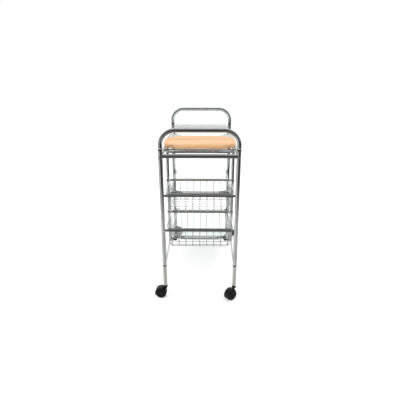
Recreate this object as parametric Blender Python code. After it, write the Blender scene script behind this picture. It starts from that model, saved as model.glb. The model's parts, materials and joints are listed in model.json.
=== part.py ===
"""Kitchen island cart: a chrome tube frame on four twin-wheel casters, with a hoop handle at each end.

Two wire baskets hang on runner bars at the near end and slide out sideways. Two glass shelves fill the
far end, and a glass top carries a removable wooden board. X runs across the cart, Y along it, Z up, and
the origin is on the floor under the middle of the cart.
"""

import math

import bmesh
import bpy
from mathutils import Matrix, Vector

# Overall sizes, in metres.
FRAME_WIDTH = 0.343
FRAME_LENGTH = 0.680
HOOP_HEIGHT = 0.844
CROSS_TUBE_HEIGHT = 0.731
SIDE_RAIL_HEIGHT = 0.726
TOP_FRAME_HEIGHT = 0.747
LEG_JOINT_HEIGHT = 0.181
LEG_BOTTOM_HEIGHT = 0.069
BAY_DEPTH = 0.249

# Tubes, rods and walls.
LEG_DIAMETER = 0.019
LEG_WALL = 0.0012
SIDE_RAIL_DIAMETER = 0.016
SIDE_RAIL_NECK = 0.008
SIDE_RAIL_NECK_LENGTH = 0.012
TOP_FRAME_DIAMETER = 0.013
CROSSBAR_DIAMETER = 0.0127
POST_DIAMETER = 0.015
STAY_DIAMETER = 0.008
RUNNER_DIAMETER = 0.008
SHELF_TUBE_DIAMETER = 0.0127
HOOP_BEND = 0.065
TOP_FRAME_BEND = 0.040
SHELF_BEND = 0.075
POST_INSET = 0.005
CROSSBAR_OVERHANG = 0.0055
STAY_HEIGHT = 0.196

# Leg and hoop connectors, and the bolts of the side rails.
COLLAR_DIAMETER = 0.0204
COLLAR_HEIGHT = 0.005
SPIGOT_LENGTH = 0.022
SPIGOT_CLEARANCE = 0.0003
BOLT_DIAMETER = 0.005
BOLT_LENGTH = 0.030
BOLT_HEAD_DIAMETER = 0.013
BOLT_HEAD_HEIGHT = 0.0045

# Glass, board and shelves.
GLASS_TOP_THICKNESS = 0.005
GLASS_TOP_BEND = 0.030
GLASS_EDGE = 0.0008
SHELF_GLASS_THICKNESS = 0.004
UPPER_SHELF_HEIGHT = 0.459
LOWER_SHELF_HEIGHT = 0.193
SHELF_INSET = 0.0135
SHELF_TO_POST = 0.019
BOARD_WIDTH = 0.328
BOARD_DEPTH = 0.205
BOARD_THICKNESS = 0.018
BOARD_BEND = 0.085
BOARD_EDGE = 0.004
BOARD_END_GAP = 0.005
CLIP_LENGTH = 0.030
CLIP_HEIGHT = 0.010
CLIP_DEPTH = 0.030

# Baskets.
UPPER_RUNNER_HEIGHT = 0.540
LOWER_RUNNER_HEIGHT = 0.364
BASKET_WIDTH = 0.320
BASKET_HEIGHT = 0.105
BASKET_WALL = 0.002
BASKET_RIM_DIAMETER = 0.007
BASKET_RIM_BEND = 0.018
BASKET_LIP = 0.008
BASKET_SIDE_SLOPE = 0.006
BASKET_END_SLOPE = 0.009

# Casters. The trail is the distance from the stem to the axle.
WHEEL_DIAMETER = 0.053
WHEEL_WIDTH = 0.0145
WHEEL_EDGE = 0.0025
CASTER_TRAIL = 0.022
WEB_THICKNESS = 0.008
HOOD_WALL = 0.0025
HOOD_CLEARANCE = 0.0015
HOOD_START = -25.0
HOOD_END = 150.0
CASTER_NECK_DIAMETER = 0.018
STEM_DIAMETER = 0.011
STEM_LENGTH = 0.034
AXLE_DIAMETER = 0.006
HUB_RECESS = 0.003
CASTER_TURNS = {"near_left": 176.0, "near_right": 222.0, "far_left": 42.0, "far_right": -4.0}

# Clearance between touching pieces, and the fineness of the round shapes.
GAP = 0.0003
TUBE_SIDES = 16
ROD_SIDES = 12
BEND_STEPS = 5
WHEEL_SIDES = 24

LEG_RADIUS = LEG_DIAMETER / 2
LEG_X = FRAME_WIDTH / 2
LEG_Y = FRAME_LENGTH / 2
NEAR_BAR_Y = -LEG_Y + LEG_RADIUS + GAP + CROSSBAR_DIAMETER / 2
POST_Y = -LEG_Y + BAY_DEPTH
POST_X = LEG_X - POST_INSET
RUNNER_Y = POST_Y - POST_DIAMETER / 2 - GAP - RUNNER_DIAMETER / 2
SHELF_X = LEG_X - SHELF_INSET
SHELF_NEAR_Y = POST_Y + SHELF_TO_POST
CORNERS = {
    "near_left": (-1, -1),
    "near_right": (1, -1),
    "far_left": (-1, 1),
    "far_right": (1, 1),
}
SIDES = {"left": -1, "right": 1}

for leftover in list(bpy.data.objects):
    bpy.data.objects.remove(leftover, do_unlink=True)


def material(name, colour, metallic, roughness, transmission=0.0):
    made = bpy.data.materials.new(name)
    made.use_nodes = True
    made.diffuse_color = (*colour, 1.0)
    shader = made.node_tree.nodes["Principled BSDF"]
    shader.inputs["Base Color"].default_value = (*colour, 1.0)
    shader.inputs["Metallic"].default_value = metallic
    shader.inputs["Roughness"].default_value = roughness
    shader.inputs["Transmission Weight"].default_value = transmission
    return made


CHROME = material("chrome", (0.78, 0.79, 0.80), 1.0, 0.08)
SATIN = material("satin_chrome", (0.74, 0.75, 0.74), 1.0, 0.28)
WIRE = material("chrome_wire", (0.80, 0.81, 0.82), 1.0, 0.12)
GLASS = material("clear_glass", (0.93, 0.98, 0.97), 0.0, 0.02, 1.0)
WOOD = material("beech", (0.72, 0.42, 0.18), 0.0, 0.45)
BLACK = material("black_plastic", (0.012, 0.012, 0.013), 0.0, 0.35)
TREAD = material("black_tread", (0.018, 0.018, 0.019), 0.0, 0.55)
STEEL = material("zinc_steel", (0.60, 0.60, 0.58), 1.0, 0.30)


def place(name, mesh, finish, at=(0, 0, 0), turn=0.0, parent=None):
    """An object of this mesh, smooth where it is round, turned about Z and placed under its parent."""
    made = bpy.data.objects.new(name, mesh)
    bpy.context.scene.collection.objects.link(made)
    if not mesh.materials:
        mesh.materials.append(finish)
    mesh.shade_smooth()
    mesh.set_sharp_from_angle(angle=math.radians(40))
    made.location = at
    made.rotation_euler = (0.0, 0.0, math.radians(turn))
    made.parent = parent
    return made


def mesh_of(shape, name):
    mesh = bpy.data.meshes.new(name)
    bmesh.ops.recalc_face_normals(shape, faces=shape.faces)
    shape.to_mesh(mesh)
    shape.free()
    return mesh


def bent(corners, radius, closed=False, steps=BEND_STEPS):
    """The points of a path through these corners, each turned into an arc of the given radius."""
    points = [Vector(corner) for corner in corners]
    path = []
    for index, here in enumerate(points):
        if not closed and index in (0, len(points) - 1):
            path.append(here)
            continue
        before = (points[index - 1] - here).normalized()
        after = (points[(index + 1) % len(points)] - here).normalized()
        half = before.angle(after) / 2
        centre = here + (before + after).normalized() * (radius / math.sin(half))
        start = here + before * (radius / math.tan(half)) - centre
        end = here + after * (radius / math.tan(half)) - centre
        sweep = start.angle(end)
        for step in range(steps + 1):
            part = step / steps
            arm = start * math.sin((1 - part) * sweep) + end * math.sin(part * sweep)
            path.append(centre + arm / math.sin(sweep))
    return path


def tube_mesh(name, path, diameter, closed=False, sides=TUBE_SIDES):
    """A round bar that follows the path, with flat ends."""
    line = bpy.data.curves.new(name, "CURVE")
    line.dimensions = "3D"
    line.bevel_depth = diameter / 2
    line.bevel_resolution = sides // 2 - 2
    line.use_fill_caps = not closed
    spline = line.splines.new("POLY")
    spline.points.add(len(path) - 1)
    for point, place_on_path in zip(spline.points, path):
        point.co = (*place_on_path, 1.0)
    spline.use_cyclic_u = closed
    guide = bpy.data.objects.new(name + "_line", line)
    mesh = bpy.data.meshes.new_from_object(guide)
    bpy.data.objects.remove(guide)
    shape = bmesh.new()
    shape.from_mesh(mesh)
    bmesh.ops.remove_doubles(shape, verts=shape.verts, dist=1e-6)
    return mesh_of(shape, name)


def turned_mesh(name, profile, sides, closed=False):
    """A profile of (radius, height) points spun about Z. An open profile starts and ends on the axis."""
    shape = bmesh.new()
    corners = [shape.verts.new((radius, 0.0, height)) for radius, height in profile]
    edges = [shape.edges.new(pair) for pair in zip(corners, corners[1:])]
    if closed:
        edges.append(shape.edges.new((corners[-1], corners[0])))
    bmesh.ops.spin(
        shape,
        geom=corners + edges,
        axis=(0, 0, 1),
        angle=math.tau,
        steps=sides,
        use_merge=True,
    )
    bmesh.ops.remove_doubles(shape, verts=shape.verts, dist=1e-6)
    return mesh_of(shape, name)


def lay_along(mesh, direction):
    """Turns a mesh made about Z so that its axis points along the direction."""
    mesh.transform(Vector((0, 0, 1)).rotation_difference(Vector(direction)).to_matrix().to_4x4())
    return mesh


def rounded_outline(low, high, radius, near_only=False):
    """A rectangle in plan from low to high, with its corners rounded, or only the two at low Y."""
    near = [(low[0], low[1], 0), (high[0], low[1], 0)]
    far = [(high[0], high[1], 0), (low[0], high[1], 0)]
    if near_only:
        return bent([far[1], *near, far[0]], radius)
    return bent(near + far, radius, closed=True)


def panel_mesh(name, outline, bottom, thickness, edge, segments=1):
    """A flat plate of this outline, with its top and bottom edges eased."""
    shape = bmesh.new()
    face = shape.faces.new([shape.verts.new((point.x, point.y, bottom)) for point in outline])
    grown = bmesh.ops.extrude_face_region(shape, geom=[face])
    lifted = [item for item in grown["geom"] if isinstance(item, bmesh.types.BMVert)]
    bmesh.ops.translate(shape, vec=(0, 0, thickness), verts=lifted)
    rims = [side for side in shape.edges if abs(side.verts[0].co.z - side.verts[1].co.z) < thickness / 2]
    bmesh.ops.bevel(
        shape,
        geom=rims,
        offset=edge,
        segments=segments,
        profile=0.5,
        affect="EDGES",
        clamp_overlap=True,
        material=-1,
    )
    return mesh_of(shape, name)


def cutter(name, mesh, at=(0, 0, 0)):
    made = place(name, mesh, BLACK, at)
    made.hide_render = True
    made.display_type = "WIRE"
    return made


def cut(piece, *tools):
    for tool in tools:
        modifier = piece.modifiers.new("cut_" + tool.name, "BOOLEAN")
        modifier.operation = "DIFFERENCE"
        modifier.solver = "EXACT"
        modifier.object = tool


def weld(piece, *others):
    for other in others:
        other.hide_render = True
        other.display_type = "WIRE"
        modifier = piece.modifiers.new("weld_" + other.name, "BOOLEAN")
        modifier.operation = "UNION"
        modifier.solver = "EXACT"
        modifier.object = other


def rod_cutter(name, start, end, diameter, sides=TUBE_SIDES):
    return cutter(name, tube_mesh(name, [Vector(start), Vector(end)], diameter, sides=sides))


def make_cutters():
    """The leg, rail and bolt spaces that other pieces are cut to."""
    spaces = {}
    for name, (x, y) in CORNERS.items():
        spaces[name] = rod_cutter(
            "leg_space_" + name,
            (x * LEG_X, y * LEG_Y, 0.0),
            (x * LEG_X, y * LEG_Y, HOOP_HEIGHT),
            LEG_DIAMETER + 2 * GAP,
        )
        bolt_start = y * (LEG_Y + LEG_DIAMETER)
        bolt_end = y * (LEG_Y + LEG_RADIUS - BOLT_LENGTH - GAP)
        spaces["bolt_" + name] = rod_cutter(
            "bolt_space_" + name,
            (x * LEG_X, bolt_start, SIDE_RAIL_HEIGHT),
            (x * LEG_X, bolt_end, SIDE_RAIL_HEIGHT),
            BOLT_DIAMETER + 2 * GAP,
            ROD_SIDES,
        )
    for name, x in SIDES.items():
        spaces["rail_" + name] = rod_cutter(
            "rail_space_" + name,
            (x * LEG_X, -LEG_Y, SIDE_RAIL_HEIGHT),
            (x * LEG_X, LEG_Y, SIDE_RAIL_HEIGHT),
            SIDE_RAIL_DIAMETER + 2 * GAP,
        )
    return spaces


def make_legs(spaces):
    """Four tube legs, each on a plugged lower section that takes the caster's stem."""
    bore = LEG_RADIUS - LEG_WALL
    plug = bore - SPIGOT_CLEARANCE
    leg_bottom = LEG_JOINT_HEIGHT + GAP
    leg_top = TOP_FRAME_HEIGHT + LEG_RADIUS
    stem_bore = STEM_DIAMETER / 2 + GAP
    leg_wall = [(bore, leg_bottom), (LEG_RADIUS, leg_bottom), (LEG_RADIUS, leg_top), (bore, leg_top)]
    lower = [
        (0.0, LEG_BOTTOM_HEIGHT + STEM_LENGTH),
        (stem_bore, LEG_BOTTOM_HEIGHT + STEM_LENGTH),
        (stem_bore, LEG_BOTTOM_HEIGHT),
        (LEG_RADIUS, LEG_BOTTOM_HEIGHT),
        (LEG_RADIUS, LEG_JOINT_HEIGHT),
        (plug, LEG_JOINT_HEIGHT),
        (plug, LEG_JOINT_HEIGHT + SPIGOT_LENGTH),
        (0.0, LEG_JOINT_HEIGHT + SPIGOT_LENGTH),
    ]
    for name, (x, y) in CORNERS.items():
        at = (x * LEG_X, y * LEG_Y, 0.0)
        leg = place("leg_" + name, turned_mesh("leg", leg_wall, TUBE_SIDES, closed=True), CHROME, at)
        cut(leg, spaces["bolt_" + name])
        place("lower_leg_" + name, turned_mesh("lower_leg", lower, TUBE_SIDES), SATIN, at)


def make_hoops():
    """A handle hoop at each end, on two plugs that join it to the leg tops."""
    bore = LEG_RADIUS - LEG_WALL
    plug = bore - SPIGOT_CLEARANCE
    collar_bottom = TOP_FRAME_HEIGHT + LEG_RADIUS + GAP
    collar_top = collar_bottom + COLLAR_HEIGHT
    hoop_bottom = collar_top + GAP
    connector = [
        (0.0, collar_bottom - SPIGOT_LENGTH),
        (plug, collar_bottom - SPIGOT_LENGTH),
        (plug, collar_bottom),
        (COLLAR_DIAMETER / 2, collar_bottom),
        (COLLAR_DIAMETER / 2, collar_top),
        (plug, collar_top),
        (plug, collar_top + SPIGOT_LENGTH),
        (0.0, collar_top + SPIGOT_LENGTH),
    ]
    for end, y in (("near", -LEG_Y), ("far", LEG_Y)):
        corners = [
            (-LEG_X, y, hoop_bottom),
            (-LEG_X, y, HOOP_HEIGHT),
            (LEG_X, y, HOOP_HEIGHT),
            (LEG_X, y, hoop_bottom),
        ]
        path = bent(corners, HOOP_BEND, steps=BEND_STEPS + 3)
        hoop = place(end + "_hoop", tube_mesh("hoop", path, LEG_DIAMETER), CHROME)
        for side, x in SIDES.items():
            corner = end + "_" + side
            socket = rod_cutter(
                "hoop_bore_" + corner,
                (x * LEG_X, y, hoop_bottom - LEG_RADIUS),
                (x * LEG_X, y, collar_top + SPIGOT_LENGTH + GAP),
                2 * bore,
            )
            cut(hoop, socket)
            mesh = turned_mesh("hoop_connector", connector, TUBE_SIDES)
            place("hoop_connector_" + corner, mesh, BLACK, (x * LEG_X, y, 0.0))


def make_rails(spaces):
    """The end cross tubes, the side rails and their bolts, and the loop that carries the glass top."""
    for end, y in (("near", -LEG_Y), ("far", LEG_Y)):
        line = [Vector((-LEG_X, y, CROSS_TUBE_HEIGHT)), Vector((LEG_X, y, CROSS_TUBE_HEIGHT))]
        cross = place(end + "_cross_tube", tube_mesh("cross_tube", line, LEG_DIAMETER), CHROME)
        cut(cross, spaces[end + "_left"], spaces[end + "_right"])
    rail_end = LEG_Y - LEG_RADIUS - GAP
    bolt_hole = BOLT_DIAMETER / 2 + GAP
    bolt_depth = BOLT_LENGTH - LEG_DIAMETER + 2 * GAP
    shoulder = rail_end - SIDE_RAIL_NECK_LENGTH
    half_rail = [
        (0.0, rail_end - bolt_depth),
        (bolt_hole, rail_end - bolt_depth),
        (bolt_hole, rail_end),
        (SIDE_RAIL_NECK / 2, rail_end),
        (SIDE_RAIL_NECK / 2, shoulder),
        (SIDE_RAIL_DIAMETER / 2, shoulder - SIDE_RAIL_NECK / 2),
    ]
    rail_profile = half_rail + [(radius, -along) for radius, along in reversed(half_rail)]
    for side, x in SIDES.items():
        mesh = lay_along(turned_mesh("side_rail", rail_profile, TUBE_SIDES), (0, 1, 0))
        place("side_rail_" + side, mesh, CHROME, (x * LEG_X, 0, SIDE_RAIL_HEIGHT))
    head = BOLT_HEAD_DIAMETER / 2
    bolt = [
        (0.0, -BOLT_LENGTH),
        (BOLT_DIAMETER / 2, -BOLT_LENGTH),
        (BOLT_DIAMETER / 2, GAP),
        (head, GAP),
        (head, GAP + 0.3 * BOLT_HEAD_HEIGHT),
        (0.86 * head, GAP + 0.7 * BOLT_HEAD_HEIGHT),
        (0.5 * head, GAP + 0.93 * BOLT_HEAD_HEIGHT),
        (0.0, GAP + BOLT_HEAD_HEIGHT),
    ]
    for name, (x, y) in CORNERS.items():
        mesh = lay_along(turned_mesh("rail_bolt", bolt, ROD_SIDES), (0, y, 0))
        place("rail_bolt_" + name, mesh, STEEL, (x * LEG_X, y * (LEG_Y + LEG_RADIUS), SIDE_RAIL_HEIGHT))
    half_x = LEG_X - LEG_RADIUS - GAP - TOP_FRAME_DIAMETER / 2
    half_y = LEG_Y - LEG_RADIUS - GAP - TOP_FRAME_DIAMETER / 2
    loop = rounded_outline((-half_x, -half_y), (half_x, half_y), TOP_FRAME_BEND)
    mesh = tube_mesh("top_frame", loop, TOP_FRAME_DIAMETER, closed=True, sides=ROD_SIDES)
    place("top_frame", mesh, CHROME, (0, 0, TOP_FRAME_HEIGHT))


def make_top():
    """The glass top on its loop, and the wooden board that lies on its near end."""
    half_x = LEG_X - LEG_RADIUS - 2 * GAP
    half_y = LEG_Y - LEG_RADIUS - 2 * GAP
    glass_bottom = TOP_FRAME_HEIGHT + TOP_FRAME_DIAMETER / 2 + GAP
    outline = rounded_outline((-half_x, -half_y), (half_x, half_y), GLASS_TOP_BEND)
    mesh = panel_mesh("glass_top", outline, glass_bottom, GLASS_TOP_THICKNESS, GLASS_EDGE)
    place("glass_top", mesh, GLASS)
    board_bottom = glass_bottom + GLASS_TOP_THICKNESS + GAP
    near = -LEG_Y + LEG_RADIUS + BOARD_END_GAP
    half_board = BOARD_WIDTH / 2
    outline = rounded_outline((-half_board, near), (half_board, near + BOARD_DEPTH), BOARD_BEND)
    mesh = panel_mesh("wood_board", outline, board_bottom, BOARD_THICKNESS, BOARD_EDGE, segments=2)
    place("wood_board", mesh, WOOD)


def make_basket_bay(spaces):
    """The two posts behind the baskets with their stays, and the bars that the baskets run on."""
    for side, x in SIDES.items():
        top = Vector((x * POST_X, POST_Y, SIDE_RAIL_HEIGHT))
        foot = Vector((x * POST_X, POST_Y, STAY_HEIGHT - STAY_DIAMETER))
        mesh = tube_mesh("mid_post", [top, foot], POST_DIAMETER, sides=16)
        post = place("mid_post_" + side, mesh, CHROME)
        start = Vector((x * POST_X, POST_Y, STAY_HEIGHT))
        end = Vector((x * POST_X, -LEG_Y, STAY_HEIGHT))
        mesh = tube_mesh("stay", [start, end], STAY_DIAMETER, sides=ROD_SIDES)
        stay = place("stay_" + side, mesh, CHROME)
        weld(post, stay)
        cut(post, spaces["near_" + side], spaces["rail_" + side])
    reach = LEG_X + CROSSBAR_OVERHANG
    for level, height in (("upper", UPPER_RUNNER_HEIGHT), ("lower", LOWER_RUNNER_HEIGHT)):
        line = [Vector((-reach, NEAR_BAR_Y, height)), Vector((reach, NEAR_BAR_Y, height))]
        mesh = tube_mesh("near_bar", line, CROSSBAR_DIAMETER, sides=16)
        place("near_runner_bar_" + level, mesh, CHROME)
        runner_height = height + (CROSSBAR_DIAMETER - RUNNER_DIAMETER) / 2
        tip = RUNNER_DIAMETER / 2
        rod = [
            (0.0, -reach),
            (0.7 * tip, -reach + 0.2 * tip),
            (tip, -reach + tip),
            (tip, reach - tip),
            (0.7 * tip, reach - 0.2 * tip),
            (0.0, reach),
        ]
        mesh = lay_along(turned_mesh("mid_runner", rod, ROD_SIDES), (1, 0, 0))
        place("mid_runner_rod_" + level, mesh, CHROME, (0, RUNNER_Y, runner_height))


def make_shelves(spaces):
    """Two U-shaped shelf tubes from the far legs, their glass, and the clips that hold them."""
    for level, height in (("upper", UPPER_SHELF_HEIGHT), ("lower", LOWER_SHELF_HEIGHT)):
        outline = rounded_outline((-SHELF_X, SHELF_NEAR_Y), (SHELF_X, LEG_Y), SHELF_BEND, near_only=True)
        mesh = tube_mesh("shelf_tube", outline, SHELF_TUBE_DIAMETER, sides=ROD_SIDES)
        rim = place("shelf_tube_" + level, mesh, CHROME, (0, 0, height))
        cut(rim, spaces["far_left"], spaces["far_right"])
        glass_far = LEG_Y - LEG_RADIUS - GAP
        far_corner = (SHELF_X, glass_far)
        panel = rounded_outline((-SHELF_X, SHELF_NEAR_Y), far_corner, SHELF_BEND, near_only=True)
        bottom = height + SHELF_TUBE_DIAMETER / 2 + GAP
        mesh = panel_mesh("shelf_glass", panel, bottom, SHELF_GLASS_THICKNESS, GLASS_EDGE)
        place("shelf_glass_" + level, mesh, GLASS)
        space = cutter(
            "shelf_tube_space_" + level,
            tube_mesh("shelf_space", outline, SHELF_TUBE_DIAMETER + 2 * GAP, sides=ROD_SIDES),
            (0, 0, height),
        )
        for side, x in SIDES.items():
            post_top = (x * POST_X, POST_Y, height + CLIP_HEIGHT)
            post_foot = (x * POST_X, POST_Y, height - CLIP_HEIGHT)
            post_space = rod_cutter(
                "post_space_" + level + "_" + side, post_top, post_foot, POST_DIAMETER + 2 * GAP
            )
            outer = POST_X - POST_DIAMETER / 2
            low = (min(x * outer, x * (outer - CLIP_LENGTH)), POST_Y)
            high = (max(x * outer, x * (outer - CLIP_LENGTH)), POST_Y + CLIP_DEPTH)
            block = [Vector((low[0], low[1], 0)), Vector((high[0], low[1], 0))]
            block += [Vector((high[0], high[1], 0)), Vector((low[0], high[1], 0))]
            mesh = panel_mesh("shelf_clip", block, height - CLIP_HEIGHT / 2, CLIP_HEIGHT, 0.001)
            clip = place("shelf_clip_" + level + "_" + side, mesh, BLACK)
            cut(clip, space, post_space)


def basket_ring(shape, half_x, half_y, height):
    corners = [(-half_x, -half_y, 0), (half_x, -half_y, 0), (half_x, half_y, 0), (-half_x, half_y, 0)]
    points = bent(corners, BASKET_RIM_BEND, closed=True, steps=4)
    verts = [shape.verts.new((point.x, point.y, height)) for point in points]
    return [shape.edges.new((verts[i - 1], verts[i])) for i in range(len(verts))]


def make_baskets():
    """Each basket is a wire rim on the runner bars and a tapered tub below it."""
    rim_half_y = (RUNNER_Y - NEAR_BAR_Y) / 2
    basket_y = (RUNNER_Y + NEAR_BAR_Y) / 2
    rim_half_x = BASKET_WIDTH / 2 - BASKET_RIM_DIAMETER / 2
    bar_face = rim_half_y - CROSSBAR_DIAMETER / 2
    for level, height in (("upper", UPPER_RUNNER_HEIGHT), ("lower", LOWER_RUNNER_HEIGHT)):
        rim_height = height + CROSSBAR_DIAMETER / 2 + GAP + BASKET_RIM_DIAMETER / 2
        slide = bpy.data.objects.new("basket_" + level, None)
        bpy.context.scene.collection.objects.link(slide)
        slide.location = (0, basket_y, rim_height)
        outline = rounded_outline((-rim_half_x, -rim_half_y), (rim_half_x, rim_half_y), BASKET_RIM_BEND)
        mesh = tube_mesh("basket_rim", outline, BASKET_RIM_DIAMETER, closed=True, sides=8)
        place("basket_rim_" + level, mesh, WIRE, parent=slide)
        lip_x = rim_half_x - BASKET_RIM_DIAMETER / 2 - GAP
        lip_y = rim_half_y - BASKET_RIM_DIAMETER / 2 - GAP
        body_x = lip_x - (lip_y - bar_face) - GAP
        body_y = bar_face - GAP
        floor_x = body_x - BASKET_SIDE_SLOPE
        floor_y = body_y - BASKET_END_SLOPE
        wall = BASKET_WALL
        shape = bmesh.new()
        rings = [
            basket_ring(shape, lip_x - wall, lip_y - wall, 0.0),
            basket_ring(shape, lip_x, lip_y, 0.0),
            basket_ring(shape, body_x, body_y, -BASKET_LIP),
            basket_ring(shape, floor_x, floor_y, -BASKET_HEIGHT),
        ]
        inner = [
            basket_ring(shape, body_x - wall, body_y - wall, -BASKET_LIP),
            basket_ring(shape, floor_x - wall, floor_y - wall, -BASKET_HEIGHT + wall),
        ]
        for upper_ring, lower_ring in zip(rings, rings[1:]):
            bmesh.ops.bridge_loops(shape, edges=upper_ring + lower_ring)
        bmesh.ops.bridge_loops(shape, edges=rings[0] + inner[0])
        bmesh.ops.bridge_loops(shape, edges=inner[0] + inner[1])
        for ring in (rings[-1], inner[1]):
            bmesh.ops.edgeloop_fill(shape, edges=ring)
        place("basket_tub_" + level, mesh_of(shape, "basket_tub"), WIRE, parent=slide)


def caster_body(name):
    """The stem, neck, web and hood of one caster, with the stem on Z and the wheels towards +X."""
    wheel_radius = WHEEL_DIAMETER / 2
    hood_inner = wheel_radius + HOOD_CLEARANCE
    hood_outer = hood_inner + HOOD_WALL
    half_width = WEB_THICKNESS / 2 + GAP + WHEEL_WIDTH
    neck_top = LEG_BOTTOM_HEIGHT - GAP
    neck_bottom = wheel_radius + 0.6 * hood_outer
    neck = CASTER_NECK_DIAMETER / 2
    stem = STEM_DIAMETER / 2
    column = [
        (0.0, neck_bottom),
        (neck, neck_bottom),
        (neck, neck_top),
        (stem, neck_top),
        (stem, neck_top + STEM_LENGTH - 2 * GAP),
        (0.0, neck_top + STEM_LENGTH - 2 * GAP),
    ]
    body = place(name, turned_mesh("caster_body", column, TUBE_SIDES), BLACK)
    axle_at = Vector((CASTER_TRAIL, 0, wheel_radius))
    side_step = Vector((0, half_width, 0))
    wheel_line = [axle_at - side_step, axle_at + side_step]
    wheel_room = tube_mesh("wheel_space", wheel_line, 2 * hood_inner, sides=WHEEL_SIDES)
    wheel_space = cutter(name + "_wheel_space", wheel_room)
    wheel_space.parent = body
    cut(body, wheel_space)
    hood = hood_mesh(hood_inner, hood_outer, half_width)
    web = web_mesh(hood_inner + HOOD_WALL / 2)
    for mesh in (hood, web):
        mesh.transform(Matrix.Translation(axle_at))
    hood = place(name + "_hood", hood, BLACK, parent=body)
    web = place(name + "_web", web, BLACK, parent=body)
    weld(body, hood, web)
    bore = tube_mesh("axle_bore", wheel_line, AXLE_DIAMETER + 2 * GAP, sides=ROD_SIDES)
    axle_space = cutter(name + "_axle_space", bore)
    axle_space.parent = body
    cut(body, axle_space)
    return body


def hood_mesh(inner, outer, half_width):
    """An arched cover about the Y axis, between the hood's two angles."""
    shape = bmesh.new()
    start = math.radians(HOOD_START)
    corners = []
    for radius, side in ((inner, -1), (outer, -1), (outer, 1), (inner, 1)):
        spot = (radius * math.cos(start), side * half_width, radius * math.sin(start))
        corners.append(shape.verts.new(spot))
    face = shape.faces.new(corners)
    bmesh.ops.spin(
        shape,
        geom=[face, *face.edges, *face.verts],
        axis=(0, -1, 0),
        angle=math.radians(HOOD_END - HOOD_START),
        steps=14,
    )
    return mesh_of(shape, "caster_hood")


def web_mesh(radius):
    """The plate between the two wheels, a segment of a disc that ends at a chord below the axle."""
    shape = bmesh.new()
    start = math.radians(HOOD_START)
    end = math.radians(HOOD_END)
    steps = 14
    corners = []
    for step in range(steps + 1):
        angle = start + (end - start) * step / steps
        spot = (radius * math.cos(angle), -WEB_THICKNESS / 2, radius * math.sin(angle))
        corners.append(shape.verts.new(spot))
    corners.append(shape.verts.new((-0.3 * radius, -WEB_THICKNESS / 2, -0.3 * radius)))
    corners.append(shape.verts.new((0.3 * radius, -WEB_THICKNESS / 2, -0.45 * radius)))
    face = shape.faces.new(corners)
    grown = bmesh.ops.extrude_face_region(shape, geom=[face])
    moved = [item for item in grown["geom"] if isinstance(item, bmesh.types.BMVert)]
    bmesh.ops.translate(shape, vec=(0, WEB_THICKNESS, 0), verts=moved)
    return mesh_of(shape, "caster_web")


def make_caster(name, x, y):
    """A twin-wheel caster: its body swivels on the stem, and the wheels turn with the axle."""
    wheel_radius = WHEEL_DIAMETER / 2
    swivel = bpy.data.objects.new("caster_" + name, None)
    bpy.context.scene.collection.objects.link(swivel)
    swivel.location = (x * LEG_X, y * LEG_Y, 0.0)
    swivel.rotation_euler = (0.0, 0.0, math.radians(CASTER_TURNS[name]))
    body = caster_body("caster_body_" + name)
    body.parent = swivel
    spin = bpy.data.objects.new("caster_spin_" + name, None)
    bpy.context.scene.collection.objects.link(spin)
    spin.location = (CASTER_TRAIL, 0.0, wheel_radius)
    spin.parent = swivel
    inner_face = WEB_THICKNESS / 2 + GAP
    outer_face = inner_face + WHEEL_WIDTH
    bore = AXLE_DIAMETER / 2 + GAP
    axle_end = outer_face - HUB_RECESS
    axle_line = [Vector((0, -axle_end, 0)), Vector((0, axle_end, 0))]
    mesh = tube_mesh("caster_axle", axle_line, AXLE_DIAMETER, sides=ROD_SIDES)
    place("caster_axle_" + name, mesh, STEEL, parent=spin)
    hub = 0.42 * wheel_radius
    profile = [
        (bore, inner_face),
        (wheel_radius - WHEEL_EDGE, inner_face),
        (wheel_radius, inner_face + WHEEL_EDGE),
        (wheel_radius, outer_face - WHEEL_EDGE),
        (wheel_radius - WHEEL_EDGE, outer_face),
        (hub, outer_face),
        (0.86 * hub, outer_face - HUB_RECESS),
        (bore, outer_face - HUB_RECESS),
    ]
    for side, direction in (("a", -1), ("b", 1)):
        mesh = turned_mesh("caster_wheel", profile, WHEEL_SIDES, closed=True)
        mesh = lay_along(mesh, (0, direction, 0))
        place("caster_wheel_" + side + "_" + name, mesh, TREAD, parent=spin)


def main():
    spaces = make_cutters()
    make_legs(spaces)
    make_hoops()
    make_rails(spaces)
    make_top()
    make_basket_bay(spaces)
    make_shelves(spaces)
    make_baskets()
    for name, (x, y) in CORNERS.items():
        make_caster(name, x, y)


main()
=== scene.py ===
import json
import math

import bmesh
import bpy
from mathutils import Matrix, Vector


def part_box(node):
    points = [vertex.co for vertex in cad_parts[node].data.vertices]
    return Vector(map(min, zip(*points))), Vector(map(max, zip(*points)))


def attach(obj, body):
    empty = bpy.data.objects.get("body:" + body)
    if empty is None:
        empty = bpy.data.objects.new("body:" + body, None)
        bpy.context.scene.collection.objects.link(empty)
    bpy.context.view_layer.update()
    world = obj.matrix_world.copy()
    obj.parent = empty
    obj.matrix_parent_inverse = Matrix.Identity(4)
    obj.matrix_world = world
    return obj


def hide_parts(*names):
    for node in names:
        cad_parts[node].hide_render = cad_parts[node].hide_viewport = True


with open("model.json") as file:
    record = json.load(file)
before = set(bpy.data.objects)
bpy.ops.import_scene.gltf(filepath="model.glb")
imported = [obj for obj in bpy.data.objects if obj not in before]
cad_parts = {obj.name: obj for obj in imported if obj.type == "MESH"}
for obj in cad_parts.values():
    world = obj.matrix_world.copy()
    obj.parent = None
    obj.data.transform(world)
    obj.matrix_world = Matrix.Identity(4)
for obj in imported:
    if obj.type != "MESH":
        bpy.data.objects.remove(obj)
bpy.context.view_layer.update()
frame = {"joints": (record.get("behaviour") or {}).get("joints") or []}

up = Vector((0, 0, 1))
corners = ("near_left", "near_right", "far_left", "far_right")
levels = ("upper", "lower")
sides = ("left", "right")


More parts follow.
